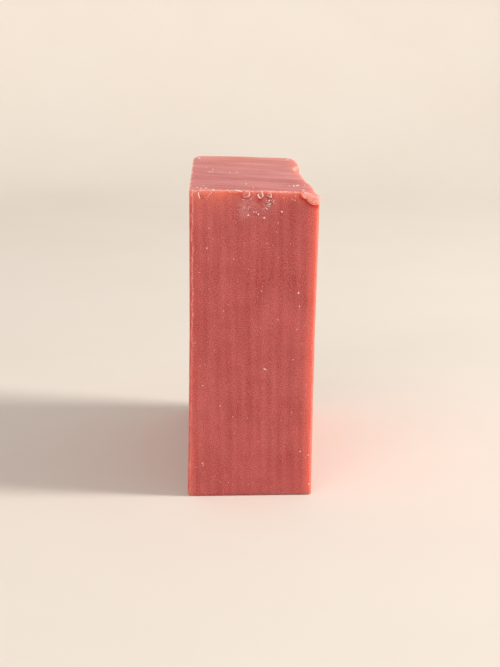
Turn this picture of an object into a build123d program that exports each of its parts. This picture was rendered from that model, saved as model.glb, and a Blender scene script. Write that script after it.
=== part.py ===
from build123d import *
from math import atan2, degrees
import os

# A bar of hand-made soap, sliced from a loaf and stood on its narrow end.
# It was poured and cut as one piece, so it is one solid with no core and no layers.
# X runs across the thickness, Y from the front face to the back face, and Z up.
# The origin is the centre of the base.

# ---- Driving dimensions, in millimetres ----

# The block
thickness = 26.0  # between the two broad faces
depth = 60.0  # from the front face to the back face
height = 65.0  # at the middle of the top

# How the cuts run out of square
lean = 1.1  # how far the top stands to the right of the base
top_fall = 0.8  # how much lower the top is on its right than on its left
cure_sink = 0.2  # how far each broad face has drawn in at mid height while curing

# The cut edges, softened by handling
edge_radius = 0.5

# A shallow hollow worn into the right-hand top edge
hollow_depth = 1.3  # how far it bites into the edge
hollow_length = 50.0  # along the edge
hollow_drop = 22.0  # how far down the broad face it fades out
hollow_shift = 2.0  # from the middle of the edge towards the back

# The back corner of that edge, knocked off
knock_across = 2.8
knock_along = 5.0
knock_down = 1.8

# The front corner of that edge, pressed down
press_across = 3.6
press_along = 1.2
press_down = 2.3

# The lip of soap that was pressed out of it and lies over the front face
lip_proud = 0.4  # how far it stands out from the pressed corner
lip_bite = 1.3  # how far it reaches back into the block
lip_round = 0.2  # rounding of its rim
lip_neck = 0.35  # rounding between its lobes
# Its two lobes: place down the slope from the top, half length and half width
lip_lobes = [(0.6, 1.0, 0.8), (2.8, 1.7, 1.2)]

# Chips out of the front top edge: place from its left-hand end, radius and bite
front_chips = [(2.1, 1.9, 0.55), (10.0, 1.3, 0.5), (13.6, 1.2, 0.45)]

# ---- Values worked out from those ----

base_right = thickness / 2
base_left = -thickness / 2
top_right = base_right + lean
top_left = base_left + lean
top_on_right = height - top_fall / 2
top_on_left = height + top_fall / 2
waist_right = base_right + lean / 2 - cure_sink
waist_left = base_left + lean / 2 + cure_sink
front = -depth / 2
back = depth / 2

# The hollow is the bite of a large cylinder, which leans away from the face as it goes down
hollow_radius = (hollow_length / 2) ** 2 / (2 * hollow_depth) + hollow_depth / 2
hollow_lean = degrees(atan2(hollow_depth - lean * hollow_drop / height, hollow_drop))
hollow_axis = top_right - hollow_depth + hollow_radius
hollow_height = 3 * hollow_drop

# Each spoilt corner is cut by a plane that meets its three edges at the distances above
back_corner = Vector(top_right, back, top_on_right)
knock_plane = Plane(
    origin=back_corner - Vector(knock_across, 0, 0),
    z_dir=(1 / knock_across, 1 / knock_along, 1 / knock_down),
)
front_corner = Vector(top_right, front, top_on_right)
press_plane = Plane(
    origin=front_corner - Vector(press_across, 0, 0),
    x_dir=(press_across, 0, -press_down),
    z_dir=(1 / press_across, -1 / press_along, 1 / press_down),
)


def top_at(x):
    """Height of the sloping top above the base, at x."""
    return height - top_fall * (x - lean) / thickness


# ---- The bar ----

with BuildPart() as soap_bar:
    # Section across the thickness: a leaning block whose broad sides have sunk a little
    with BuildSketch(Plane.XZ):
        with BuildLine():
            Line((base_left, 0), (base_right, 0))
            ThreePointArc((base_right, 0), (waist_right, height / 2), (top_right, top_on_right))
            Line((top_right, top_on_right), (top_left, top_on_left))
            ThreePointArc((top_left, top_on_left), (waist_left, height / 2), (base_left, 0))
        make_face()
    extrude(amount=depth / 2, both=True)

    # The two spoilt corners, and then the softened edges all round
    split(bisect_by=knock_plane, keep=Keep.BOTTOM)
    split(bisect_by=press_plane, keep=Keep.BOTTOM)
    fillet(soap_bar.edges(), radius=edge_radius)

    # The hollow
    with Locations(Location((hollow_axis, hollow_shift, top_on_right), (0, -hollow_lean, 0))):
        Cylinder(hollow_radius, hollow_height, mode=Mode.SUBTRACT)

    # Each chip is a shallow scoop: its ball bites into the edge at 45 degrees
    for place, radius, bite in front_chips:
        across = top_left + place
        clear = (radius - bite) / 2**0.5
        with Locations((across, front - clear, top_at(across) + clear)):
            Sphere(radius, mode=Mode.SUBTRACT)

# The lip is made flat on the pressed corner, its rim is rounded, and it joins the bar
with BuildPart() as lip:
    with BuildSketch(press_plane.offset(-lip_bite)) as lip_outline:
        for along, half_length, half_width in lip_lobes:
            with Locations((along, 0)):
                Ellipse(half_length, half_width)
        fillet(lip_outline.vertices(), radius=lip_neck)
    extrude(amount=lip_bite + lip_proud)
    rim = lip.faces().sort_by(Axis(press_plane.origin, press_plane.z_dir))[-1].edges()
    fillet(rim, radius=lip_round)

with soap_bar:
    add(lip.part)

soap_bar.part.label = "soap_bar"

os.makedirs("parts", exist_ok=True)
export_step(soap_bar.part, "parts/soap_bar.step")
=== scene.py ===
"""A hand-cut bar of translucent rose soap, standing on its narrow end in a plain pale studio.

The bar is one block of soap. Its mesh starts as a finely cut cube, and each mark of cutting,
curing and handling moves the points of that cube. Loose crumbs of the same soap cling to it.
Sizes are in millimetres until a mesh is finished, and metres after that.
"""

import logging
import math
import random
from dataclasses import dataclass, field
from enum import Enum
from typing import Any, Optional, Sequence

import bmesh
import bpy
from mathutils import Matrix, Vector, noise


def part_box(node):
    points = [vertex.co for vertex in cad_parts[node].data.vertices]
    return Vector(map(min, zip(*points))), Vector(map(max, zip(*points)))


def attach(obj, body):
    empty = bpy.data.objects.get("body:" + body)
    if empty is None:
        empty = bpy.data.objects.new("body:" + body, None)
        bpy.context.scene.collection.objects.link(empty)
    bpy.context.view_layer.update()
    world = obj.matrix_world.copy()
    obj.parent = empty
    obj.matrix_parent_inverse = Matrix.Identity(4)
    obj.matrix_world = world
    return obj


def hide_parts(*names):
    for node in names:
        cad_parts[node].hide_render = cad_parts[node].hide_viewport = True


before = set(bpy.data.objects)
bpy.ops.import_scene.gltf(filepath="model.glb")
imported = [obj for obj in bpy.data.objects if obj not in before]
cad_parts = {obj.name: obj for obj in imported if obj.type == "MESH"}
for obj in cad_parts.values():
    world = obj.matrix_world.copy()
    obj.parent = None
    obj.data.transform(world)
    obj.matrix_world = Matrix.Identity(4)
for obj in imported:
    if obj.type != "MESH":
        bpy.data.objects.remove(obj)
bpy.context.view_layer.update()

MM = 0.001
NODE = "soap_bar"
BODY = "root"
# From one stroke of the cutting wire to the next, in millimetres
WIRE_PITCH = 2.2
# Radians to the metre in a wave texture of scale 1
WAVE_RADIANS = 20.0

log = logging.getLogger("soap")


def smooth(low: float, high: float, value: float) -> float:
    """A smooth step from 0 at low to 1 at high.

    Args:
        low: where the step begins.
        high: where it ends, which may be below low.
        value: the place to read it at.

    Returns:
        A number from 0 to 1.
    """
    share = min(1.0, max(0.0, (value - low) / (high - low)))
    return share * share * (3.0 - 2.0 * share)


def bell(distance: float, width: float) -> float:
    """A bell curve, 1 at its middle.

    Args:
        distance: from its middle.
        width: distance at which it has fallen to about a third.

    Returns:
        A number from 0 to 1.
    """
    return math.exp(-((distance / width) ** 2))


def linear(colour: str) -> tuple[float, float, float, float]:
    """Turns an sRGB hex colour into linear values.

    Args:
        colour: six hex digits, such as "C86464".

    Returns:
        Red, green, blue and alpha.
    """
    values = [int(colour[i : i + 2], 16) / 255.0 for i in (0, 2, 4)]
    red, green, blue = (v / 12.92 if v <= 0.04045 else ((v + 0.055) / 1.055) ** 2.4 for v in values)
    return red, green, blue, 1.0


def add_node(
    tree: bpy.types.NodeTree,
    kind: str,
    settings: Optional[dict[str, Any]] = None,
    links: Optional[dict[str | int, bpy.types.NodeSocket]] = None,
) -> bpy.types.Node:
    """Adds one shader node.

    Args:
        tree: the node tree that it joins.
        kind: the node's type, without its ShaderNode prefix.
        settings: values by name, for its own properties or else for its input sockets. A number
            as the name is the place of an input socket.
        links: the output socket that feeds each input, by the input's name or place.

    Returns:
        The node.
    """
    node = tree.nodes.new("ShaderNode" + kind)
    for name, value in (settings or {}).items():
        if isinstance(name, str) and name.isidentifier() and hasattr(node, name):
            setattr(node, name, value)
        else:
            node.inputs[name].default_value = value
    for name, output in (links or {}).items():
        tree.links.new(output, node.inputs[name])
    return node


def new_material(name: str) -> tuple[bpy.types.Material, bpy.types.NodeTree, bpy.types.Node]:
    """Makes an empty node material.

    Args:
        name: the material's name.

    Returns:
        The material, its node tree and its output node.
    """
    material = bpy.data.materials.new(name)
    material.use_nodes = True
    material.node_tree.nodes.clear()
    return material, material.node_tree, add_node(material.node_tree, "OutputMaterial")


def finish_mesh(bm: bmesh.types.BMesh, name: str, material: bpy.types.Material) -> bpy.types.Object:
    """Turns a bmesh in millimetres into a smooth-shaded object in metres, at the origin.

    Args:
        bm: the mesh, which is freed.
        name: the object's name.
        material: what it is made of.

    Returns:
        The object, linked to the scene.
    """
    bmesh.ops.scale(bm, vec=(MM, MM, MM), verts=bm.verts[:])
    bmesh.ops.recalc_face_normals(bm, faces=bm.faces[:])
    for face in bm.faces:
        face.smooth = True
    mesh = bpy.data.meshes.new(name)
    bm.to_mesh(mesh)
    bm.free()
    mesh.materials.append(material)
    piece = bpy.data.objects.new(name, mesh)
    bpy.context.scene.collection.objects.link(piece)
    return piece


def stations(
    low: float, high: float, fine_low: float, fine_high: float, coarse: float, reach: float
) -> list[float]:
    """Places of the cuts along one side: close together near both ends, wide in the middle.

    Args:
        low: the side's first end.
        high: its other end.
        fine_low: spacing at the first end.
        fine_high: spacing at the other end.
        coarse: widest spacing.
        reach: how far from an end the spacing stays fine.

    Returns:
        The places, both ends among them.
    """
    growth = 1.16

    def walk(fine: float) -> list[float]:
        """Distances from one end up to the middle of the side."""
        places, step = [0.0], fine
        while places[-1] + step < (high - low) / 2:
            places.append(places[-1] + step)
            if places[-1] > reach:
                step = min(coarse, step * growth)
        return places

    return [low + d for d in walk(fine_low)] + [high - d for d in reversed(walk(fine_high))]


# ---- Marks on the soap ----


@dataclass
class Skin:
    """A point of the soap's surface, and how it looks there, each from 0 to 1.

    Attributes:
        point: its place.
        whitening: how pale it is from scraping or pressing, and from the painted highlight on the top edges
            and the painted sheen on the top.
        painted_glow: how strong the painted coral glow is there, standing for light that comes through thin
            soap.
        painted_shade: how dark its painted shade is, in pits, under rims and on the shaded bevel.
    """

    point: Vector
    whitening: float = 0.0
    painted_glow: float = 0.0
    painted_shade: float = 0.0


@dataclass(frozen=True)
class Scoop:
    """A chip or a pit, with the round floor that a ball would leave.

    Attributes:
        place: its middle on the face or edge, before it was chipped.
        outward: the direction straight out of the soap there.
        radius: half its width.
        depth: how deep it goes.
        shade: how dark the painted shade on its floor is.
    """

    place: tuple[float, float, float]
    outward: tuple[float, float, float]
    radius: float
    depth: float
    shade: float = 0.0

    def carve(self, skin: Skin) -> None:
        """Moves a point of the surface down to the chip's floor.

        Args:
            skin: the point, which is changed.
        """
        ball = (self.radius**2 + self.depth**2) / (2.0 * self.depth)
        centre = Vector(self.place) + Vector(self.outward).normalized() * (ball - self.depth)
        offset = skin.point - centre
        if offset.length < ball:
            reach = ball * (1.0 - 0.004 * noise.noise(skin.point * 2.3))
            skin.point = centre + offset.normalized() * reach
            off_centre = (skin.point - Vector(self.place)).length
            # Painted shade on the floor, darkest at its middle
            skin.painted_shade = max(skin.painted_shade, self.shade * smooth(self.radius, 0.3 * self.radius, off_centre))


@dataclass(frozen=True)
class Smear:
    """Soap pushed over the front face: lobes that stand proud of it, with a rounded rim.

    Attributes:
        lobes: each lobe's place across, distance below the top, half length, half width, and
            the tilt of its length in degrees, clockwise from straight across.
        proud: how far it stands out.
        rim: width of the rounded rim.
        overhang: how far the rim curls out over the face below it.
        whitening: how pale the smeared soap is.
        crest: how much paler its rim is.
        painted_rim_glow: how strong the painted glow on its rim is, standing for light that comes through the
            thin rim.
        painted_cleft_shade: how dark the painted shade in the crease under its rim, and the painted shadow
            beyond it, are.
        settle: distance over which it sinks back into the face at the top edge.
        ragged: how uneven its outline is.
        blend: distance over which its lobes run into each other.
    """

    lobes: tuple[tuple[float, float, float, float, float], ...]
    proud: float
    rim: float
    overhang: float
    whitening: float
    crest: float = 0.0
    painted_rim_glow: float = 0.8
    painted_cleft_shade: float = 0.6
    settle: float = 0.0
    ragged: float = 0.08
    blend: float = 0.12

    def inside(self, across: float, down: float) -> tuple[float, float, float]:
        """How far inside the outline a place is, and which way the outline lies.

        Args:
            across: place across the face.
            down: distance below the top.

        Returns:
            The distance inside, negative outside, and the way out, across and down.
        """
        total, weights, out_across, out_down = 0.0, 0.0, 0.0, 0.0
        for lobe_across, lobe_down, half_length, half_width, tilt in self.lobes:
            cosine, sine = math.cos(math.radians(tilt)), math.sin(math.radians(tilt))
            along = (across - lobe_across) * cosine + (down - lobe_down) * sine
            aside = (down - lobe_down) * cosine - (across - lobe_across) * sine
            depth = (1.0 - math.hypot(along / half_length, aside / half_width)) * min(half_length, half_width)
            along, aside = along / half_length**2, aside / half_width**2
            length = math.hypot(along, aside) or 1.0
            # The lobes run into each other softly
            weight = math.exp(max(-8.0, depth / self.blend))
            weights += weight
            total += weight * depth
            out_across += weight * (along * cosine - aside * sine) / length
            out_down += weight * (along * sine + aside * cosine) / length
        return total / weights, out_across / weights, out_down / weights

    def lift(self, skin: Skin, down: float) -> None:
        """Moves a point of the front face on to the smear, and changes its look.

        Args:
            skin: the point, which is changed.
            down: its distance below the top.
        """
        across = skin.point.x
        depth, out_across, out_down = self.inside(across, down)
        depth += self.ragged * noise.noise(Vector((across * 2.6, down * 2.6, 4.0)))
        lower = smooth(0.2, 0.9, down)
        # Painted shade in the crease under the rim, and a fainter painted shadow beyond it
        narrow = 0.85 * self.rim
        painted_cleft_shade = bell(depth + 0.5 * narrow, narrow) + 0.3 * bell(depth + 2.0 * narrow, 1.6 * narrow)
        painted_cleft_shade *= self.painted_cleft_shade * lower * (1.0 - skin.painted_glow)
        skin.painted_shade = min(1.0, max(skin.painted_shade, painted_cleft_shade))
        if depth <= 0.0:
            skin.point.y += 0.12 * self.proud * lower * bell(depth, 0.15)
            return
        share = min(1.0, depth / self.rim)
        rise = self.proud * math.sin(share * math.pi / 2)
        rise *= 1.0 + 0.1 * noise.noise(Vector((across * 3.0, down * 4.0, 9.0)))
        spill = self.overhang * math.sin(share * math.pi) * lower
        if self.settle:
            rise *= 0.3 + 0.7 * smooth(0.0, self.settle, down)
        skin.point += Vector((spill * out_across, -rise, -spill * out_down))
        pale = self.whitening * smooth(0.3, 1.0, share) + self.crest * bell(share - 0.8, 0.35)
        skin.whitening = max(skin.whitening, pale)
        # Painted glow on the rim, standing for light that comes through the thin soap
        skin.painted_glow = max(skin.painted_glow, self.painted_rim_glow * bell(share - 0.35, 0.5))


@dataclass(frozen=True)
class Cloud:
    """A cloudy pattern in the soap.

    Attributes:
        size_mm: the real size of its clouds.
        detail: how many finer sizes are laid over it.
        squeeze: scale along X, Y and Z, where under 1 stretches the clouds.
        turn: its turn about Z in degrees.
        strength: how much of it shows.
    """

    size_mm: float
    detail: float
    strength: float
    squeeze: tuple[float, float, float] = (1.0, 1.0, 1.0)
    turn: float = 0.0

    def build(self, tree: bpy.types.NodeTree, place: bpy.types.NodeSocket) -> bpy.types.NodeSocket:
        """Adds the pattern's nodes.

        Args:
            tree: the node tree that it joins.
            place: where on the piece it is read.

        Returns:
            The pattern, which varies about zero.
        """
        settings = {"vector_type": "TEXTURE", "Rotation": (0.0, 0.0, math.radians(self.turn))}
        turned = add_node(tree, "Mapping", settings, {"Vector": place})
        spread = add_node(tree, "Mapping", {"Scale": self.squeeze}, {"Vector": turned.outputs[0]})
        settings = {"Scale": 1.0 / (self.size_mm * MM), "Detail": self.detail, "Roughness": 0.6}
        clouds = add_node(tree, "TexNoise", settings, {"Vector": spread.outputs[0]})
        settings = {"operation": "MULTIPLY_ADD", 1: self.strength, 2: -0.5 * self.strength}
        return add_node(tree, "Math", settings, {0: clouds.outputs["Fac"]}).outputs[0]


@dataclass(frozen=True)
class SoapFinish:
    """Melt-and-pour glycerine soap, coloured rose, cut with a wire and cured in air.

    Light goes a few millimetres into it and comes back redder, so thin edges glow coral; a painted
    coral glow near the edges adds to that. The skin has dried to a waxy, faintly powdery surface
    with fine grain, and turns pale where it is scraped or pressed; a painted highlight on the top
    edges and a painted sheen on the top pale it too.

    Attributes:
        deep: the darkest tone of the block.
        light: its lightest tone.
        painted_glow_colour: the coral of the painted glow near its edges.
        bruise_and_sheen: its colour where it is scraped or pressed, also used for the painted highlight on
            the top edges and the painted sheen on the top.
        painted_shade_colour: the colour of its painted shade in pits, pores, creases under rims and on the
            shaded bevel.
        radius_mm: how far red, green and blue light go into it.
        anisotropy: how far light keeps its direction inside it.
        ior: its index of refraction.
        roughness: of its skin.
        mottle: soft clouds where the colour was stirred in.
        grain: fine grain all over.
        bands: uneven upright bands that the wire left on the front and back.
        rib_pitch_mm: from one of the wire's even bands to the next.
        rib_strength: how much of the even bands shows.
        drag: long streaks that the knife dragged across the top, a little askew.
        fleck_spacing_mm: from one pale fleck to the next.
        pore_spacing_mm: from one dot of painted pore shade to the next.
        bump_mm: height of the relief that is too fine for the mesh.
    """

    deep: str = "A73737"
    light: str = "DB7D7B"
    painted_glow_colour: str = "FF9C7E"
    bruise_and_sheen: str = "F8C4C2"
    painted_shade_colour: str = "BE2A0C"
    radius_mm: tuple[float, float, float] = (4.1, 2.0, 1.7)
    anisotropy: float = 0.3
    ior: float = 1.46
    roughness: float = 0.46
    mottle: Cloud = Cloud(6.5, 4.0, 0.65)
    grain: Cloud = Cloud(0.24, 2.0, 2.35)
    bands: Cloud = Cloud(1.1, 1.0, 0.34, squeeze=(1.0, 1.0, 0.07))
    rib_pitch_mm: float = WIRE_PITCH
    rib_strength: float = 0.1
    drag: Cloud = Cloud(3.2, 6.0, 1.25, squeeze=(0.16, 1.0, 1.0), turn=-14.0)
    fleck_spacing_mm: float = 1.0
    pore_spacing_mm: float = 0.9
    bump_mm: float = 0.1

    def dots(
        self,
        tree: bpy.types.NodeTree,
        place: bpy.types.NodeSocket,
        spacing: float,
        widest: float,
        strength: float,
    ) -> bpy.types.NodeSocket:
        """Adds sparse dots of many sizes: pale ones where crumbs were rubbed in, or dark dots of painted
        shade for pores.

        Args:
            tree: the node tree that they join.
            place: where on the piece they are read.
            spacing: from one dot to the next, in millimetres.
            widest: half the width of the widest dot, as a share of the spacing.
            strength: how strong they are.

        Returns:
            How strong they are at each place.
        """
        settings = {"Scale": 1.0 / (spacing * MM), "Randomness": 1.0}
        cells = add_node(tree, "TexVoronoi", settings, {"Vector": place})
        lot = add_node(tree, "SeparateColor", links={0: cells.outputs["Color"]})
        settings = {"From Min": 0.35, "From Max": 1.0, "To Min": 0.0, "To Max": widest}
        width = add_node(tree, "MapRange", settings, {"Value": lot.outputs[0]})
        links = {0: width.outputs[0], 1: cells.outputs["Distance"]}
        inside = add_node(tree, "Math", {"operation": "SUBTRACT"}, links)
        settings = {"From Min": 0.0, "From Max": 0.06, "To Min": 0.0, "To Max": strength}
        return add_node(tree, "MapRange", settings, {"Value": inside.outputs[0]}).outputs[0]

    def ribs(self, tree: bpy.types.NodeTree, place: bpy.types.NodeSocket) -> bpy.types.NodeSocket:
        """Adds the even bands, one for each stroke of the wire.

        Args:
            tree: the node tree that they join.
            place: where on the piece they are read.

        Returns:
            The bands, which vary about zero.
        """
        scale = 2.0 * math.pi / (WAVE_RADIANS * self.rib_pitch_mm * MM)
        settings = {"Scale": scale, "Distortion": 2.2, "Detail": 2.0, "Detail Scale": 0.35}
        waves = add_node(tree, "TexWave", settings, {"Vector": place})
        settings = {"operation": "MULTIPLY_ADD", 1: self.rib_strength, 2: -0.5 * self.rib_strength}
        return add_node(tree, "Math", settings, {0: waves.outputs["Fac"]}).outputs[0]

    def material(self) -> bpy.types.Material:
        """Builds the soap material.

        Returns:
            The material.
        """
        material, tree, output = new_material("rose_glycerine_soap")
        place = add_node(tree, "TexCoord").outputs["Object"]
        normal = add_node(tree, "NewGeometry").outputs["Normal"]
        facing = add_node(tree, "SeparateXYZ", links={0: normal})
        whitening = add_node(tree, "Attribute", {"attribute_name": "whitening"}).outputs["Fac"]
        # Painted coral glow near the edges, read from the mesh
        painted_glow = add_node(tree, "Attribute", {"attribute_name": "painted_glow"}).outputs["Fac"]
        # Painted shade in pits, under rims and on the bevel, read from the mesh
        painted_shade = add_node(tree, "Attribute", {"attribute_name": "painted_shade"}).outputs["Fac"]
        upright = add_node(tree, "Math", {"operation": "ABSOLUTE"}, {0: facing.outputs["Y"]})
        level = add_node(tree, "Math", {"operation": "MAXIMUM", 1: 0.0}, {0: facing.outputs["Z"]})
        mottle, grain = self.mottle.build(tree, place), self.grain.build(tree, place)
        bands, drag = self.bands.build(tree, place), self.drag.build(tree, place)

        # The body colour: from deep to light rose, with a painted coral glow near the edges, standing for
        # light that comes through thin soap
        tone = add_node(tree, "Math", {"operation": "ADD", 1: 0.5}, {0: mottle})
        tone = add_node(tree, "Math", {"operation": "ADD"}, {0: tone.outputs[0], 1: grain})
        cut = add_node(tree, "Math", {"operation": "ADD"}, {0: bands, 1: self.ribs(tree, place)})
        links = {0: cut.outputs[0], 1: upright.outputs[0], 2: tone.outputs[0]}
        tone = add_node(tree, "Math", {"operation": "MULTIPLY_ADD"}, links)
        links = {0: drag, 1: level.outputs[0], 2: tone.outputs[0]}
        tone = add_node(tree, "Math", {"operation": "MULTIPLY_ADD"}, links)
        settings = {"Color1": linear(self.deep), "Color2": linear(self.light)}
        body = add_node(tree, "MixRGB", settings, {"Fac": tone.outputs[0]})
        settings = {"Color2": linear(self.painted_glow_colour)}
        body = add_node(tree, "MixRGB", settings, {"Fac": painted_glow, "Color1": body.outputs[0]})

        # Pale marks: bruises that follow the grain, flecks, the painted edge highlight and top sheen in the
        # whitening, and the pale side of each knife streak on the top, partly painted sheen
        settings = {"From Min": -0.3, "From Max": 0.3, "To Min": 0.45, "To Max": 1.45}
        rubbed = add_node(tree, "MapRange", settings, {"Value": grain})
        flecks = self.dots(tree, place, self.fleck_spacing_mm, 0.17, 0.65)
        links = {0: whitening, 1: rubbed.outputs[0], 2: flecks}
        pale = add_node(tree, "Math", {"operation": "MULTIPLY_ADD"}, links)
        # Knife streaks on the top: real relief, with a pale side that is partly painted sheen
        streak_and_sheen = add_node(tree, "Math", {"operation": "MULTIPLY"}, {0: drag, 1: level.outputs[0]})
        links = {0: streak_and_sheen.outputs[0], 2: pale.outputs[0]}
        pale = add_node(tree, "Math", {"operation": "MULTIPLY_ADD", 1: 0.5}, links)
        # One pale pink for the paler marks, the painted edge highlight and the painted top sheen
        settings = {"Color2": linear(self.bruise_and_sheen)}
        colour = add_node(tree, "MixRGB", settings, {"Fac": pale.outputs[0], "Color1": body.outputs[0]})
        # Dark dots of painted shade for the skin's pores
        pore_shade = self.dots(tree, place, self.pore_spacing_mm, 0.22, 0.4)
        # Painted shade: the mesh's painted shade and the pore dots darken the colour
        dark = add_node(tree, "Math", {"operation": "MAXIMUM"}, {0: painted_shade, 1: pore_shade})
        settings = {"Color2": linear(self.painted_shade_colour)}
        colour = add_node(tree, "MixRGB", settings, {"Fac": dark.outputs[0], "Color1": colour.outputs[0]})

        # The skin is duller where it is powdery, and its relief is too fine for the mesh
        settings = {"From Min": -0.3, "From Max": 0.3}
        settings |= {"To Min": self.roughness - 0.07, "To Max": self.roughness + 0.1}
        dullness = add_node(tree, "MapRange", settings, {"Value": grain})
        scraped = add_node(tree, "Math", {"operation": "ADD", 1: 0.4}, {0: whitening})
        links = {0: grain, 1: scraped.outputs[0], 2: streak_and_sheen.outputs[0]}
        relief = add_node(tree, "Math", {"operation": "MULTIPLY_ADD"}, links)
        settings = {"Strength": 0.6, "Distance": self.bump_mm * MM}
        bump = add_node(tree, "Bump", settings, {"Height": relief.outputs[0]})
        settings = {
            "subsurface_method": "RANDOM_WALK",
            "IOR": self.ior,
            "Subsurface Weight": 1.0,
            "Subsurface Radius": self.radius_mm,
            "Subsurface Scale": MM,
            "Subsurface Anisotropy": self.anisotropy,
        }
        links = {"Base Color": colour.outputs[0], "Roughness": dullness.outputs[0]}
        shader = add_node(tree, "BsdfPrincipled", settings, links | {"Normal": bump.outputs[0]})
        tree.links.new(shader.outputs[0], output.inputs["Surface"])
        return material


@dataclass(frozen=True)
class CrumbFinish:
    """Crumbs of the same soap: dry, full of air and much paler than the block.

    Attributes:
        colour: their lightest tone.
        shade: their darkest tone.
        grain_mm: size of their grain.
        radius_mm: how far red, green and blue light go into them.
    """

    colour: str = "FFE2E1"
    shade: str = "F4C0C0"
    grain_mm: float = 0.25
    radius_mm: tuple[float, float, float] = (0.5, 0.32, 0.34)

    def material(self) -> bpy.types.Material:
        """Builds the crumb material.

        Returns:
            The material.
        """
        material, tree, output = new_material("dry_soap_crumb")
        place = add_node(tree, "TexCoord").outputs["Object"]
        settings = {"Scale": 1.0 / (self.grain_mm * MM), "Detail": 2.0}
        grain = add_node(tree, "TexNoise", settings, {"Vector": place})
        settings = {"From Min": 0.35, "From Max": 0.65}
        share = add_node(tree, "MapRange", settings, {"Value": grain.outputs["Fac"]})
        settings = {"Color1": linear(self.shade), "Color2": linear(self.colour)}
        colour = add_node(tree, "MixRGB", settings, {"Fac": share.outputs[0]})
        settings = {
            "Roughness": 0.55,
            "Subsurface Weight": 1.0,
            "Subsurface Radius": self.radius_mm,
            "Subsurface Scale": MM,
        }
        shader = add_node(tree, "BsdfPrincipled", settings, {"Base Color": colour.outputs[0]})
        tree.links.new(shader.outputs[0], output.inputs["Surface"])
        return material


@dataclass(frozen=True)
class PaperFinish:
    """Matt studio paper: a warm off-white with the faint cloudiness of pulp.

    Attributes:
        light: its lightest tone.
        dark: its darkest tone.
        cloud_mm: size of its clouds.
    """

    light: str = "EAE2D9"
    dark: str = "E5DBD0"
    cloud_mm: float = 60.0

    def material(self) -> bpy.types.Material:
        """Builds the paper material.

        Returns:
            The material.
        """
        material, tree, output = new_material("warm_paper")
        place = add_node(tree, "TexCoord").outputs["Object"]
        settings = {"Scale": 1.0 / (self.cloud_mm * MM), "Detail": 4.0}
        cloud = add_node(tree, "TexNoise", settings, {"Vector": place})
        settings = {"Color1": linear(self.dark), "Color2": linear(self.light)}
        colour = add_node(tree, "MixRGB", settings, {"Fac": cloud.outputs["Fac"]})
        shader = add_node(tree, "BsdfPrincipled", {"Roughness": 0.9}, {"Base Color": colour.outputs[0]})
        tree.links.new(shader.outputs[0], output.inputs["Surface"])
        return material


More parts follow.
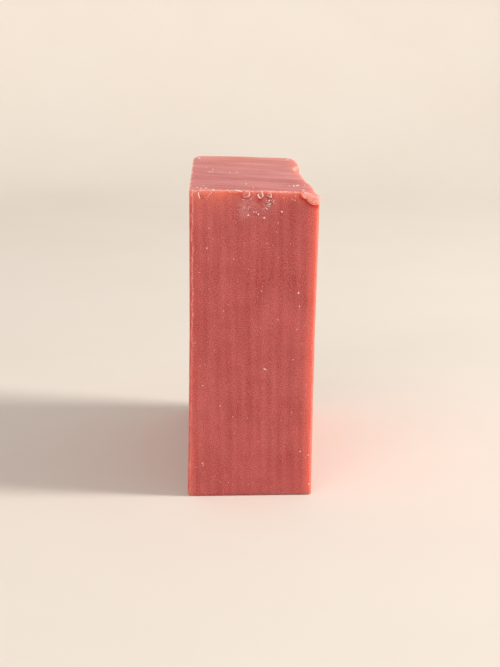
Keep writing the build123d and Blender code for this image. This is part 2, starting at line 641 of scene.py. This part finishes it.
@dataclass
class SoapBar:
    """The block of soap, with every mark that is joined to it.

    Attributes:
        half_thickness: from the middle to a broad face.
        half_depth: from the middle to the front or back face.
        height: at the middle of the top.
        lean: how far the top stands to the right of the base.
        top_fall: how much lower the top is on its right than on its left.
        cure_sink: how far each broad face has drawn in at mid height.
        edge_radius: of the softened cut edges.
        burr: width of the thin burr along the upright edge at the front left.
        worn: how far the right-hand top edge is worn back all along.
        ledges: further steps in that edge: start and end from the front, and how far it steps back.
        hollow_drop: how far down the broad face those steps fade out.
        knock: how far the back right corner is knocked off along X, Y and Z.
        nip: the same for the back left corner.
        press_sag: how far the front right corner is pressed down.
        press_bulge: how far soap was squeezed out to the right below it.
        swell: how far the right-hand face stands out beyond its flat place.
        painted_glow_reach: depth over which the painted glow fades in from an edge.
        painted_back_glow: how many times deeper the painted glow reaches from the back.
        lip: the soap that was pressed out of the front right corner.
        smears: the flap, the fold and the flakes on the front, in the order they are raised in.
        chips: the chips, pits and dents, in the order they are carved in.
    """

    half_thickness: float
    half_depth: float
    height: float
    lean: float = 1.1
    top_fall: float = 0.8
    cure_sink: float = 0.2
    edge_radius: float = 0.46
    burr: float = 0.62
    worn: float = 0.7
    ledges: tuple[tuple[float, float, float], ...] = (
        (9.0, 17.0, 0.65),
        (18.0, 24.0, 0.1),
        (29.0, 35.0, 1.0),
        (38.0, 46.0, -1.5),
    )
    hollow_drop: float = 22.0
    knock: tuple[float, float, float] = (2.4, 5.0, 1.4)
    nip: tuple[float, float, float] = (1.1, 4.0, 0.8)
    press_sag: float = 0.75
    press_bulge: float = 0.02
    swell: float = 0.28
    painted_glow_reach: float = 1.1
    painted_back_glow: float = 12.0
    lip: Smear = field(init=False)
    smears: list[Smear] = field(init=False)
    chips: list[Scoop] = field(init=False)

    def __post_init__(self) -> None:
        """Places the lip, the smears and the chips, which all lie near the front top edge."""
        front, top = -self.half_depth, self.height
        out, up_front = (0.0, -1.0, 0.0), (0.0, -1.0, 1.0)
        self.lip = Smear(
            ((10.25, 0.66, 0.95, 0.8, 30.0), (11.7, 1.42, 1.66, 1.06, 38.0), (12.0, 1.15, 0.7, 0.9, 0.0)),
            proud=0.62,
            rim=0.34,
            overhang=0.13,
            whitening=0.45,
            painted_rim_glow=1.0,
            painted_cleft_shade=1.0,
            settle=1.3,
        )
        flap = ((-10.0, 0.55, 1.1, 0.95, 0.0), (-9.3, 0.5, 1.15, 0.7, -40.0))
        fold = ((-4.2, 0.25, 1.3, 0.45, 10.0),)
        self.smears = [
            Smear(flap, proud=0.08, rim=0.25, overhang=0.05, whitening=0.05, painted_rim_glow=0.5, painted_cleft_shade=0.25),
            Smear(fold, proud=0.13, rim=0.2, overhang=0.06, whitening=0.05, crest=0.1, painted_cleft_shade=0.6),
        ]
        # Flakes that the knife raised: place across and below the top, half sizes, and tilt
        for flake in (
            (-1.6, 0.75, 0.85, 0.6, -35.0),
            (1.3, 0.8, 0.42, 0.8, 8.0),
            (3.05, 0.7, 0.42, 0.5, 0.0),
        ):
            self.smears.append(Smear((flake,), proud=0.2, rim=0.2, overhang=0.12, whitening=0.08, painted_cleft_shade=0.85))
        self.chips = [
            # The last number of a pit or a scratch is the painted shade on its floor
            Scoop((-10.35, front, top - 1.95), out, 0.24, 0.16, 1.0),
            Scoop((-1.95, front, top - 1.75), out, 0.28, 0.2, 1.0),
            Scoop((-3.35, front, top - 0.1), up_front, 0.7, 0.14),
            Scoop((-0.15, front, top - 0.2), up_front, 0.75, 0.22),
            Scoop((2.15, front, top - 0.2), up_front, 0.4, 0.16),
            Scoop((6.0, front, top - 0.1), up_front, 1.3, 0.12),
            Scoop((3.0, front, top - 37.2), out, 0.45, 0.15, 0.4),
        ]
        # Shallow dents just below and left of crumbs, with painted shadow on their floors where the crumbs
        # shade the face
        shadowed_dents = ((5.45, 4.6), (1.9, 5.9), (0.65, 5.15), (0.15, 4.75), (2.75, 3.1), (2.3, 2.75), (2.0, 3.3))
        for across, down in shadowed_dents:
            self.chips.append(Scoop((across, front, top - down), out, 0.3, 0.08, 0.5))

    # -- the mesh --

    def cut_cube(self) -> bmesh.types.BMesh:
        """Cuts a cube into a grid that is close at the edges, and closest near the front top edge.

        Returns:
            The square block.
        """
        # Spacing at both ends and in the middle, and how far the close spacing goes
        sides = [
            stations(-self.half_thickness, self.half_thickness, 0.15, 0.14, 0.5, 1.6),
            stations(-self.half_depth, self.half_depth, 0.14, 0.2, 0.7, 1.5),
            stations(0.0, self.height, 0.24, 0.14, 0.7, 2.4),
        ]
        bm = bmesh.new()
        bmesh.ops.create_cube(bm, size=1.0)
        for axis, places in enumerate(sides):
            along = [e for e in bm.edges if abs((e.verts[0].co - e.verts[1].co)[axis]) > 0.5]
            bmesh.ops.subdivide_edges(bm, edges=along, cuts=len(places) - 2, use_grid_fill=True)
            for vert in bm.verts:
                vert.co[axis] = places[round((vert.co[axis] + 0.5) * (len(places) - 1))]
        # Each pass halves the edges over a length in a strip: how far down, how far back, and start
        for longest, drop, reach, start in (
            (0.22, 6.3, 1.2, -self.half_thickness),
            (0.13, 2.4, 0.8, -self.half_thickness),
            (0.06, 3.3, 0.5, self.half_thickness - 4.2),
        ):
            near = [e for e in bm.edges if e.calc_length() > longest and self.beside(e, drop, reach, start)]
            bmesh.ops.subdivide_edges(bm, edges=near, cuts=1, use_grid_fill=True)
        return bm

    def beside(self, edge: bmesh.types.BMEdge, drop: float, reach: float, start: float) -> bool:
        """Whether a grid edge lies in a strip along the front top edge.

        Args:
            edge: the grid edge.
            drop: how far down the strip goes.
            reach: how far back it goes.
            start: where it starts across the block.

        Returns:
            True inside the strip.
        """
        middle = (edge.verts[0].co + edge.verts[1].co) / 2
        return middle.x > start and self.height - middle.z < drop and middle.y + self.half_depth < reach

    def build(self, finish: SoapFinish) -> bpy.types.Object:
        """Makes the block.

        Args:
            finish: what it is made of.

        Returns:
            The finished piece.
        """
        bm = self.cut_cube()
        whitening = bm.verts.layers.float.new("whitening")
        # Painted glow near the edges
        painted_glow = bm.verts.layers.float.new("painted_glow")
        # Painted shade in pits, under rims and on the bevel
        painted_shade = bm.verts.layers.float.new("painted_shade")
        for vert in bm.verts:
            skin = self.surface(vert.co.copy())
            vert.co = skin.point
            vert[whitening], vert[painted_glow], vert[painted_shade] = skin.whitening, skin.painted_glow, skin.painted_shade
        return finish_mesh(bm, "cut_soap_bar", finish.material())

    # -- the shape --

    def surface(self, square: Vector) -> Skin:
        """Where a point of the square block lies on the real bar, and how it looks there.

        Args:
            square: a point on a face of the square block.

        Returns:
            The point on the bar, with its look.
        """
        point, outward, edge = self.rounded(square)
        skin = Skin(point + outward * self.relief(point, outward, edge))
        skin.whitening, skin.painted_glow = self.bloom_and_sheen(skin.point, outward, edge), self.painted_glow(square)
        # Painted shade on the bevel at the front left
        skin.painted_shade = self.painted_bevel_shade(skin.point, outward)
        for chip in self.chips:
            chip.carve(skin)
        skin.point = self.pressed(self.hollowed(skin.point))
        # The two back corners of the top, and how rounded each cut is
        for sign, legs, soft in ((1.0, self.knock, 0.25), (-1.0, self.nip, 0.3)):
            corner = Vector((sign * self.half_thickness, self.half_depth, self.height))
            skin.point = self.flattened(skin.point, corner, legs, soft)
        smear_reach = 0.6
        if skin.point.y < -self.half_depth + smear_reach:
            for smear in (self.lip, *self.smears):
                smear.lift(skin, self.height - skin.point.z)
        skin.point = self.leaned(skin.point)
        skin.whitening = min(1.0, skin.whitening)
        return skin

    def burr_at(self, up: float) -> float:
        """Width of the burr: wavy, and wider near its top.

        Args:
            up: height above the base.

        Returns:
            The width there.
        """
        wavy = 1.0 + 0.6 * noise.noise(Vector((3.0, 8.0, up * 0.35)))
        wavy += 0.4 * noise.noise(Vector((6.0, 2.0, up * 1.2)))
        wavy += 0.4 * bell(self.height - 0.8 - up, 1.0)
        return self.burr * wavy * (0.75 + 0.25 * smooth(20.0, 50.0, up))

    def rounded(self, square: Vector) -> tuple[Vector, Vector, float]:
        """Rounds the block's edges, and bevels the upright one at the front left.

        Args:
            square: a point on the square block.

        Returns:
            The rounded point, the direction out of the soap, and the distance from the nearest edge.
        """
        half = (self.half_thickness, self.half_depth, self.height / 2)
        centred = Vector((square.x, square.y, square.z - half[2]))
        edge = sorted(half[i] - abs(centred[i]) for i in range(3))[1]
        radius = self.edge_radius * (1.0 + 0.35 * noise.noise(square * 0.45))
        # A power of 2 makes a round edge, and 1 would make a flat bevel
        power = 2.0
        bevelled = smooth(-self.half_thickness + 3.0, -self.half_thickness + 0.8, square.x)
        bevelled *= smooth(-self.half_depth + 3.0, -self.half_depth + 0.8, square.y)
        if bevelled > 0.0:
            radius += bevelled * (self.burr_at(square.z) - radius)
            power -= 0.8 * bevelled
        inner = Vector(max(-h + radius, min(h - radius, c)) for h, c in zip(half, centred))
        offset = centred - inner
        if offset.length < 1e-9:
            return square.copy(), Vector((0.0, 0.0, 1.0)), edge
        length = sum(abs(v) ** power for v in offset) ** (1.0 / power)
        point = inner + offset * (radius / length)
        point.z += half[2]
        return point, offset.normalized(), edge

    def relief(self, point: Vector, outward: Vector, edge: float) -> float:
        """How far the surface stands in or out: cutting marks, unevenness and ragged edges.

        Args:
            point: a point on the rounded block.
            outward: the direction out of the soap there.
            edge: its distance from the nearest edge.

        Returns:
            The distance outwards.
        """
        # Slow unevenness all over, and the wire's strokes on the front and back
        uneven = 0.05 * noise.noise(point * 0.11) + 0.018 * noise.noise(point * 0.4)
        sway = 0.35 * noise.noise(Vector((2.0, 5.0, point.z * 0.06)))
        wire = 0.010 * math.sin(2.0 * math.pi * (point.x + sway) / WIRE_PITCH) * abs(outward.y)
        # Long strokes of the knife across the top, which turned its back edge up
        askew = point.y + 0.25 * point.x + 0.8 * noise.noise(Vector((point.x * 0.12, 1.0, 6.0)))
        knife = noise.noise(Vector((point.x * 0.05, askew * 0.3, 2.0)))
        knife += 0.5 * noise.noise(Vector((point.x * 0.12, askew * 0.9, 7.0)))
        knife *= 0.08 * max(0.0, outward.z)
        turned_up = 0.2 * bell(self.half_depth - point.y, 1.5) * max(0.0, outward.z)
        # Strokes from front to back on the broad faces
        saw = 0.02 * noise.noise(Vector((5.0, point.y * 0.06, point.z * 0.9))) * abs(outward.x)
        # Edges torn out here and there, more so towards the top
        near = bell(edge, 0.55)
        bitten = noise.noise(point * 1.3) + 0.7 * noise.noise(point * 3.4)
        upper = smooth(2.0, self.height - 1.0, point.z)
        ragged = near * (0.06 * upper * max(0.0, bitten) - (0.03 + 0.05 * upper) * (1.0 + bitten))
        # The base stays flat
        grounded = smooth(-0.5, 0.6, point.z) if outward.z > -0.5 else 0.0
        return (uneven + wire + knife + turned_up + saw + ragged) * grounded

    def bloom_and_sheen(self, point: Vector, outward: Vector, edge: float) -> float:
        """How pale a place is: worn edges, the burr and the scuffed patch, with a painted highlight on the
        top edges and a painted sheen on the top face.

        Args:
            point: a point on the surface.
            outward: the direction out of the soap there.
            edge: its distance from the nearest edge.

        Returns:
            The whitening, from 0 to 1.
        """
        front = smooth(0.5, 0.9, -outward.y)
        down = self.height - point.z
        # The scuffed patch below the flakes: a strong part and a wide faint one
        cloud = 0.6 + 0.8 * noise.noise(point * 1.7)
        patch = 0.42 * bell(math.hypot((point.x + 1.9) / 1.3, (down - 3.7) / 2.2), 1.0)
        patch += 0.22 * bell(math.hypot((point.x - 1.2) / 3.2, (down - 3.2) / 2.2), 1.0)
        # The pale line where the burr ends, which comes and goes
        line = point.x + self.half_thickness - self.burr_at(point.z)
        burr = 0.62 * bell(line, 0.14) * (0.3 + 0.7 * smooth(24.0, 40.0, point.z))
        burr *= 0.7 + 0.9 * noise.noise(Vector((4.0, 4.0, point.z * 0.9)))
        # The edges of the top, worn most at the back, paler along every edge on the right half, a painted
        # highlight along the top edges that is strongest where they face the front, and a painted sheen on
        # the top face
        top = smooth(self.height - 3.0, self.height - 0.2, point.z)
        crest = (0.1 + 0.14 * smooth(0.0, 0.6, -outward.y)) * bell(edge, 0.38) * top
        worn = 0.14 * bell(edge, 0.5) * top + 0.08 * bell(edge, 0.35) * smooth(0.0, 4.0, point.x)
        worn += 0.25 * bell(self.half_depth - point.y, 1.4) * top
        painted_top_sheen = 0.055 * smooth(0.5, 0.9, outward.z)
        marks = front * (patch * cloud + max(0.0, burr)) + painted_top_sheen
        return marks + (worn + crest) * (0.8 + 0.7 * noise.noise(point * 2.3))

    def painted_bevel_shade(self, point: Vector, outward: Vector) -> float:
        """How dark the painted shade is on the strip between the burr and the front left edge, which faces
        away from the key light.

        Args:
            point: a point on the surface.
            outward: the direction out of the soap there.

        Returns:
            The darkness of the painted shade, from 0 to 1.
        """
        line = point.x + self.half_thickness - self.burr_at(point.z)
        patchy = max(0.0, 0.5 + 0.9 * noise.noise(Vector((7.0, 1.0, point.z * 0.5))))
        return 0.45 * patchy * smooth(0.0, -0.12, line) * smooth(0.1, 0.5, -outward.y)

    def painted_glow(self, square: Vector) -> float:
        """How strong the painted coral glow is near the soap's edges, most at the top and the right.

        Args:
            square: a point on a face of the square block.

        Returns:
            The strength of the painted glow, from 0 to 1.
        """
        # Painted glow from the left face, stronger towards the base
        lower_left = 0.25 - 0.2 * square.z / self.height
        # The painted glow is stronger on the left of the top edge
        thinner = smooth(-2.0, -7.0, square.x)
        # Each side's distance, and the share of painted glow that it gives
        sides = sorted(
            (
                ((self.height - square.z) / (1.0 + 0.7 * thinner), 0.62 + 0.2 * thinner),
                (self.half_thickness - square.x, 0.5),
                ((self.half_depth - square.y) / self.painted_back_glow, 0.34),
                (self.half_thickness + square.x, lower_left),
                (self.half_depth + square.y, 0.1),
                (square.z, 0.0),
            )
        )
        # The nearest side is the face that the point is on
        return min(1.0, sum(share * math.exp(-gap / self.painted_glow_reach) for gap, share in sides[1:]))

    def hollowed(self, point: Vector) -> Vector:
        """Wears back the right-hand top edge, in steps.

        Args:
            point: a point on the surface, which is changed.

        Returns:
            The point on the worn edge.
        """
        back = point.y + self.half_depth
        side = smooth(self.half_thickness - 5.0, self.half_thickness, point.x)
        worn = self.worn * smooth(-0.5, 4.5, back) * smooth(self.height - 10.0, self.height, point.z)
        notch = 0.11 * noise.noise(Vector((1.0, point.y * 0.45, point.z * 0.3)))
        steps = sum(depth * smooth(start, end, back) for start, end, depth in self.ledges)
        steps *= smooth(self.height - self.hollow_drop, self.height, point.z)
        point.x -= (worn + steps + notch * smooth(self.height - 5.0, self.height, point.z)) * side
        return point

    def flattened(self, point: Vector, corner: Vector, legs: Sequence[float], soft: float) -> Vector:
        """Presses a point back to the rough plane that cuts a corner off.

        Args:
            point: a point on the surface.
            corner: the corner.
            legs: how far along X, Y and Z the plane meets the corner's edges.
            soft: how rounded the cut's own edges are.

        Returns:
            The point, on or behind the plane.
        """
        reach = 9.0
        if (point - corner).length > reach:
            return point
        rough = 1.0 + 0.16 * noise.noise(point * 1.1)
        signs = (math.copysign(1.0, corner.x), math.copysign(1.0, corner.y), 1.0)
        out = Vector(sign / (leg * rough) for sign, leg in zip(signs, legs)).normalized()
        foot = corner - Vector((signs[0] * legs[0] * rough, 0.0, 0.0))
        beyond = (point - foot).dot(out)
        pushed = soft * math.log1p(math.exp(max(-30.0, min(30.0, beyond / soft))))
        return point - out * min(pushed, max(0.0, beyond) + 0.7 * soft)

    def pressed(self, point: Vector) -> Vector:
        """Presses down the front right corner of the top, which squeezes soap out beside it.

        Args:
            point: a point on the surface, which is changed.

        Returns:
            The pressed point.
        """
        back, down = point.y + self.half_depth, self.height - point.z
        across = smooth(self.half_thickness - 4.0, self.half_thickness + 0.2, point.x)
        point.z -= self.press_sag * across * smooth(6.0, 0.0, back) * smooth(3.0, 0.0, down)
        point.x += self.press_bulge * across * bell(back, 0.9) * bell(down - 1.6, 0.9)
        return point

    def leaned(self, point: Vector) -> Vector:
        """Leans the block, slopes its top and draws its broad faces in, as it cured.

        Args:
            point: a point on the surface.

        Returns:
            The point on the finished bar.
        """
        share = point.z / self.height
        sink = self.cure_sink * 4.0 * share * (1.0 - share) * point.x / self.half_thickness
        slope = self.top_fall * point.x / (2.0 * self.half_thickness) * share
        swell = self.swell * smooth(self.half_thickness - 1.5, self.half_thickness, point.x)
        return Vector((point.x + self.lean * share - sink + swell, point.y, point.z - slope))


@dataclass
class Crumbs:
    """Loose crumbs and shavings that cling to the front and the top.

    Attributes:
        bar: the bar that they cling to.
        seed: for their shapes.
        spots: crumbs on the front: place across, distance below the top, and width.
        specks: crumbs on the top: place across, place from front to back, and width.
        shavings: thin curls on the front: width, then places across and below the top.
        edge_count: tiny crumbs along the front top edge.
        scuff_count: tiny crumbs in each scuffed patch.
        dust_count: tiny crumbs over the rest of the front, more of them near the top.
    """

    bar: SoapBar
    seed: int = 7
    spots: tuple[tuple[float, float, float], ...] = (
        (5.6, 4.2, 0.44), (2.1, 5.5, 0.44), (-1.1, 5.0, 0.42), (0.9, 4.8, 0.38), (0.5, 4.4, 0.26),
        (0.0, 4.4, 0.28), (3.2, 1.1, 0.46), (3.0, 2.0, 0.36), (4.0, 2.0, 0.26), (3.2, 2.7, 0.34),
        (2.8, 2.4, 0.22), (2.5, 2.0, 0.22), (2.5, 3.6, 0.3), (3.1, 3.2, 0.28), (-0.6, 1.8, 0.24),
        (7.6, 1.6, 0.22), (4.7, 8.3, 0.24), (2.8, 10.7, 0.24), (-9.4, 11.9, 0.3), (9.5, 20.8, 0.34),
        (9.8, 23.6, 0.34), (-5.9, 24.8, 0.22), (8.8, 35.0, 0.24), (-10.1, 40.6, 0.24), (10.7, 55.1, 0.28),
        (1.9, 20.5, 0.22), (-6.4, 45.0, 0.28), (-3.7, 47.4, 0.22), (-9.9, 57.6, 0.32), (-9.8, 58.0, 0.24),
        (12.3, 55.9, 0.3), (12.5, 62.4, 0.32), (8.3, 1.0, 0.22), (8.2, 1.8, 0.24),
    )
    specks: tuple[tuple[float, float, float], ...] = (
        (-9.7, 5.6, 0.3), (-8.2, 1.9, 0.34), (-8.9, -2.3, 0.42), (-8.35, -2.4, 0.34), (-4.4, -2.6, 0.34),
        (-2.9, -2.2, 0.4), (-11.4, -28.4, 0.38), (-10.6, -29.0, 0.36), (-9.6, -28.8, 0.42),
        (-12.7, -25.6, 0.36), (-12.8, -19.0, 0.44), (-12.7, -11.5, 0.34), (-12.8, -3.0, 0.42),
        (-12.7, 8.5, 0.46), (-12.8, 15.0, 0.34), (-6.5, 29.7, 0.44), (0.4, 29.7, 0.36), (6.1, 29.7, 0.4),
        (-1.4, -21.5, 0.34), (-0.1, -26.2, 0.3), (7.5, -22.3, 0.36), (8.4, -22.1, 0.42), (9.1, -21.7, 0.46),
        (9.5, -21.4, 0.4), (11.2, -20.8, 0.36), (10.1, -27.9, 0.42), (10.4, 26.5, 0.5), (-11.6, 23.9, 0.6),
        (-10.1, -25.4, 0.3),
    )
    shavings: tuple[tuple[float, tuple[tuple[float, float], ...]], ...] = (
        (0.3, ((-11.05, 0.7), (-11.1, 1.4), (-10.8, 1.95))),
        (0.24, ((-9.9, 1.75), (-9.65, 1.55))),
        (0.14, ((-8.2, 0.3), (-8.75, 0.95), (-9.5, 1.6))),
        (0.3, ((-8.6, 0.05), (-8.3, 0.12), (-8.0, 0.1))),
        (0.13, ((-5.25, 0.1), (-4.95, 0.35), (-4.8, 0.65))),
        (0.34, ((-3.75, 0.02), (-3.2, 0.02), (-2.85, 0.15), (-2.6, 0.5))),
        (0.3, ((-0.95, 0.5), (-1.0, 0.85), (-1.2, 1.15), (-1.55, 1.35), (-2.2, 1.45))),
        (0.16, ((-2.4, 1.85), (-1.9, 1.95))),
        (0.34, ((0.78, 0.7), (1.02, 1.3), (1.38, 1.72))),
        (0.24, ((1.52, 0.55), (1.74, 1.05), (1.5, 1.55))),
        (0.26, ((2.62, 0.9), (3.1, 1.15), (3.5, 1.3))),
        (0.28, ((3.35, 0.78), (3.16, 1.2))),
        (0.16, ((3.75, 2.15), (4.0, 2.55))),
        (0.14, ((2.55, 3.0), (2.25, 3.35))),
        (0.22, ((2.7, 36.8), (3.2, 37.4))),
    )
    edge_count: int = 80
    scuff_count: int = 30
    dust_count: int = 14

    def grain(self, bm: bmesh.types.BMesh, place: Vector, size: float, rng: random.Random) -> None:
        """Adds one crumb: a small lump with a broken surface.

        Args:
            bm: the mesh that it joins.
            place: its middle.
            size: its width.
            rng: the source of its shape.
        """
        axis = Vector((rng.random(), rng.random(), rng.random() + 0.1))
        turn = Matrix.Rotation(rng.uniform(0.0, math.pi), 4, axis)
        spread = Matrix.Diagonal((rng.uniform(0.8, 1.25), rng.uniform(0.7, 1.0), rng.uniform(0.6, 1.1), 1.0))
        made = bmesh.ops.create_icosphere(
            bm, subdivisions=2, radius=size / 2, matrix=Matrix.Translation(place) @ turn @ spread
        )
        shift = Vector((rng.uniform(0.0, 50.0), 0.0, 0.0))
        for vert in made["verts"]:
            arm = vert.co - place
            vert.co = place + arm * (1.0 + 0.45 * noise.noise(arm * (2.2 / size) + shift))

    def on_front(self, across: float, down: float) -> Vector:
        """A place on the front of the finished bar.

        Args:
            across: place across the front.
            down: distance below the top.

        Returns:
            The place.
        """
        square = Vector((across, -self.bar.half_depth, self.bar.height - max(0.02, down)))
        return self.bar.surface(square).point

    def shaving(
        self, bm: bmesh.types.BMesh, line: Sequence[tuple[float, float]], width: float, rng: random.Random
    ) -> None:
        """Adds one curl of soap: rings along a smooth line, joined, pinched at both ends.

        Args:
            bm: the mesh that it joins.
            line: places across and below the top that it passes through.
            width: its width at the middle.
            rng: the source of its unevenness.
        """
        rings_per_leg = 4
        count = rings_per_leg * (len(line) - 1)
        shift = rng.uniform(0.0, 50.0)
        loops = []
        for step in range(count + 1):
            share = step / rings_per_leg
            near = min(len(line) - 2, int(share))
            start, end, part = line[near], line[near + 1], share - near
            across, down = (a + (b - a) * part for a, b in zip(start, end))
            uneven = 1.0 + 1.2 * noise.noise(Vector((across * 5.0, down * 5.0, shift)))
            across += 0.16 * noise.noise(Vector((across * 4.0, down * 4.0, shift + 9.0)))
            down += 0.16 * noise.noise(Vector((across * 4.0, down * 4.0, shift + 5.0)))
            thick = width * uneven * (0.25 + 0.75 * math.sin(math.pi * (0.1 + 0.8 * step / count)))
            way = Vector((end[0] - start[0], 0.0, start[1] - end[1]))
            seat = self.on_front(across, down) - Vector((0.0, 0.18 * thick, 0.0))
            turn = way.to_track_quat("Z", "Y").to_matrix().to_4x4()
            matrix = Matrix.Translation(seat) @ turn @ Matrix.Diagonal((0.5, 0.42, 0.5, 1.0))
            ends = step in (0, count)
            ring = bmesh.ops.create_circle(bm, segments=8, radius=thick, cap_ends=ends, matrix=matrix)
            loops.append(set(ring["verts"]))
        for first, second in zip(loops, loops[1:]):
            pair = [e for e in bm.edges if set(e.verts) <= first or set(e.verts) <= second]
            bmesh.ops.bridge_loops(bm, edges=pair)

    def build(self, finish: CrumbFinish) -> bpy.types.Object:
        """Makes all the crumbs as one piece.

        Args:
            finish: what they are made of.

        Returns:
            The finished piece.
        """
        rng = random.Random(self.seed)
        bm = bmesh.new()
        bar = self.bar
        for width, line in self.shavings:
            curl = bmesh.new()
            self.shaving(curl, line, width, rng)
            mesh = bpy.data.meshes.new("curl")
            curl.to_mesh(mesh)
            curl.free()
            bm.from_mesh(mesh)
            bpy.data.meshes.remove(mesh)
        for across, down, size in self.spots:
            self.grain(bm, self.on_front(across, down) - Vector((0.0, 0.12 * size, 0.0)), size, rng)
        for across, along, size in self.specks:
            self.grain(bm, bar.surface(Vector((across, along, bar.height))).point, size, rng)
        for _ in range(self.edge_count):
            # More of them lie towards the left
            across = -bar.half_thickness + 0.3 + 2.0 * (bar.half_thickness - 0.5) * rng.random() ** 1.6
            self.grain(bm, self.on_front(across, abs(rng.gauss(0.0, 0.2))), rng.uniform(0.08, 0.22), rng)
        for _ in range(self.scuff_count):
            # One patch runs down to the left from under the edge, and the other lies beside it
            share = rng.random()
            across = 4.1 - 2.4 * share + rng.gauss(0.0, 0.35)
            down = 1.3 + 2.7 * share + rng.gauss(0.0, 0.35)
            self.grain(bm, self.on_front(across, down), rng.uniform(0.08, 0.2), rng)
            across, down = rng.gauss(-1.4, 1.1), max(1.4, rng.gauss(3.7, 1.3))
            self.grain(bm, self.on_front(across, down), rng.uniform(0.06, 0.15), rng)
        for _ in range(self.dust_count):
            across = (bar.half_thickness - 1.0) * rng.uniform(-1.0, 1.0)
            down = (bar.height - 1.0) * rng.random() ** 1.5
            self.grain(bm, self.on_front(across, down), rng.uniform(0.14, 0.2), rng)
        return finish_mesh(bm, "soap_crumbs", finish.material())


class Lamp(Enum):
    """The studio's lights, each with its place in metres, width in metres, power and colour."""

    KEY = ((0.90, -0.12, 0.52), 0.26, 10.6, "FFFCF6")
    FRONT_FILL = ((-0.35, -0.75, 0.45), 0.70, 2.6, "FFFCF8")

    def build(self, target: Vector) -> None:
        """Makes the light and aims it.

        Args:
            target: the point that it faces.
        """
        place, width, power, colour = self.value
        light = bpy.data.lights.new(self.name.lower(), "AREA")
        light.shape = "DISK"
        light.size = width
        light.energy = power
        light.color = linear(colour)[:3]
        lamp = bpy.data.objects.new(light.name, light)
        lamp.location = place
        lamp.rotation_euler = (target - Vector(place)).to_track_quat("-Z", "Y").to_euler()
        bpy.context.scene.collection.objects.link(lamp)


@dataclass
class Studio:
    """A round sweep of pale paper, the lights and the camera.

    Attributes:
        radius: of the sweep, in millimetres.
        bend: radius of the curve between its floor and wall.
        wall: its height.
        sky: colour of the light from above.
        sky_strength: its strength.
        camera_place: the camera's place, in millimetres.
        camera_heading: its turn to the left about Z, in degrees.
        camera_pitch: how far it looks down, in degrees.
        lens: its focal length, in millimetres.
        sensor: width of its sensor, in millimetres.
    """

    radius: float = 620.0
    bend: float = 200.0
    wall: float = 260.0
    sky: str = "FCFAF8"
    sky_strength: float = 0.52
    camera_place: tuple[float, float, float] = (-7.0, -273.0, 98.0)
    camera_heading: float = -1.71
    camera_pitch: float = 14.41
    lens: float = 66.1
    sensor: float = 36.0

    def sweep(self, finish: PaperFinish) -> bpy.types.Object:
        """Makes the sweep by spinning its section about the middle.

        Args:
            finish: what it is made of.

        Returns:
            The sweep.
        """
        bm = bmesh.new()
        start = bm.verts.new((self.radius - self.bend, 0.0, 0.0))
        centre = (self.radius - self.bend, 0.0, self.bend)
        bmesh.ops.spin(bm, geom=[start], cent=centre, axis=(0.0, -1.0, 0.0), angle=math.pi / 2, steps=20)
        rim = max(bm.verts, key=lambda v: v.co.z)
        raised = bmesh.ops.extrude_vert_indiv(bm, verts=[rim])["verts"]
        bmesh.ops.translate(bm, vec=(0.0, 0.0, self.wall - self.bend), verts=raised)
        hub = bmesh.ops.extrude_vert_indiv(bm, verts=[start])["verts"]
        bmesh.ops.translate(bm, vec=(self.bend - self.radius, 0.0, 0.0), verts=hub)
        bmesh.ops.spin(
            bm, geom=bm.verts[:] + bm.edges[:], cent=(0.0, 0.0, 0.0), axis=(0.0, 0.0, 1.0),
            angle=2.0 * math.pi, steps=96, use_merge=True,
        )
        bmesh.ops.remove_doubles(bm, verts=bm.verts[:], dist=0.001)
        return finish_mesh(bm, "paper_sweep", finish.material())

    def light(self, target: Vector) -> None:
        """Sets the light from above and builds the lamps.

        Args:
            target: the point that the lamps face.
        """
        world = bpy.data.worlds.new("studio")
        bpy.context.scene.world = world
        world.use_nodes = True
        world.node_tree.nodes.clear()
        settings = {"Color": linear(self.sky), "Strength": self.sky_strength}
        sky = add_node(world.node_tree, "Background", settings)
        add_node(world.node_tree, "OutputWorld", links={"Surface": sky.outputs[0]})
        for lamp in Lamp:
            lamp.build(target)

    def camera(self) -> None:
        """Sets up the camera, a little to the left of the bar's middle and looking down on it."""
        data = bpy.data.cameras.new("camera")
        data.lens = self.lens
        data.sensor_width = self.sensor
        data.clip_start = 0.01
        camera = bpy.data.objects.new("camera", data)
        camera.location = Vector(self.camera_place) * MM
        tilt = math.radians(90.0 - self.camera_pitch)
        camera.rotation_euler = (tilt, 0.0, math.radians(self.camera_heading))
        bpy.context.scene.collection.objects.link(camera)
        bpy.context.scene.camera = camera


def main() -> None:
    """Builds the studio and then the soap."""
    logging.basicConfig(level=logging.INFO, format="%(message)s")
    bpy.context.scene.view_settings.view_transform = "Standard"
    low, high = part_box(NODE)
    studio = Studio()
    studio.camera()
    studio.light((low + high) / 2)
    studio.sweep(PaperFinish())

    height = high.z / MM - SoapBar.top_fall / 2
    bar = SoapBar(half_thickness=-low.x / MM, half_depth=high.y / MM, height=height)
    block = bar.build(SoapFinish())
    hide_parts(NODE)
    crumbs = Crumbs(bar).build(CrumbFinish())
    for piece in (block, crumbs):
        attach(piece, BODY)
        log.info("%s: %d faces", piece.name, len(piece.data.polygons))


if __name__ == "__main__":
    main()
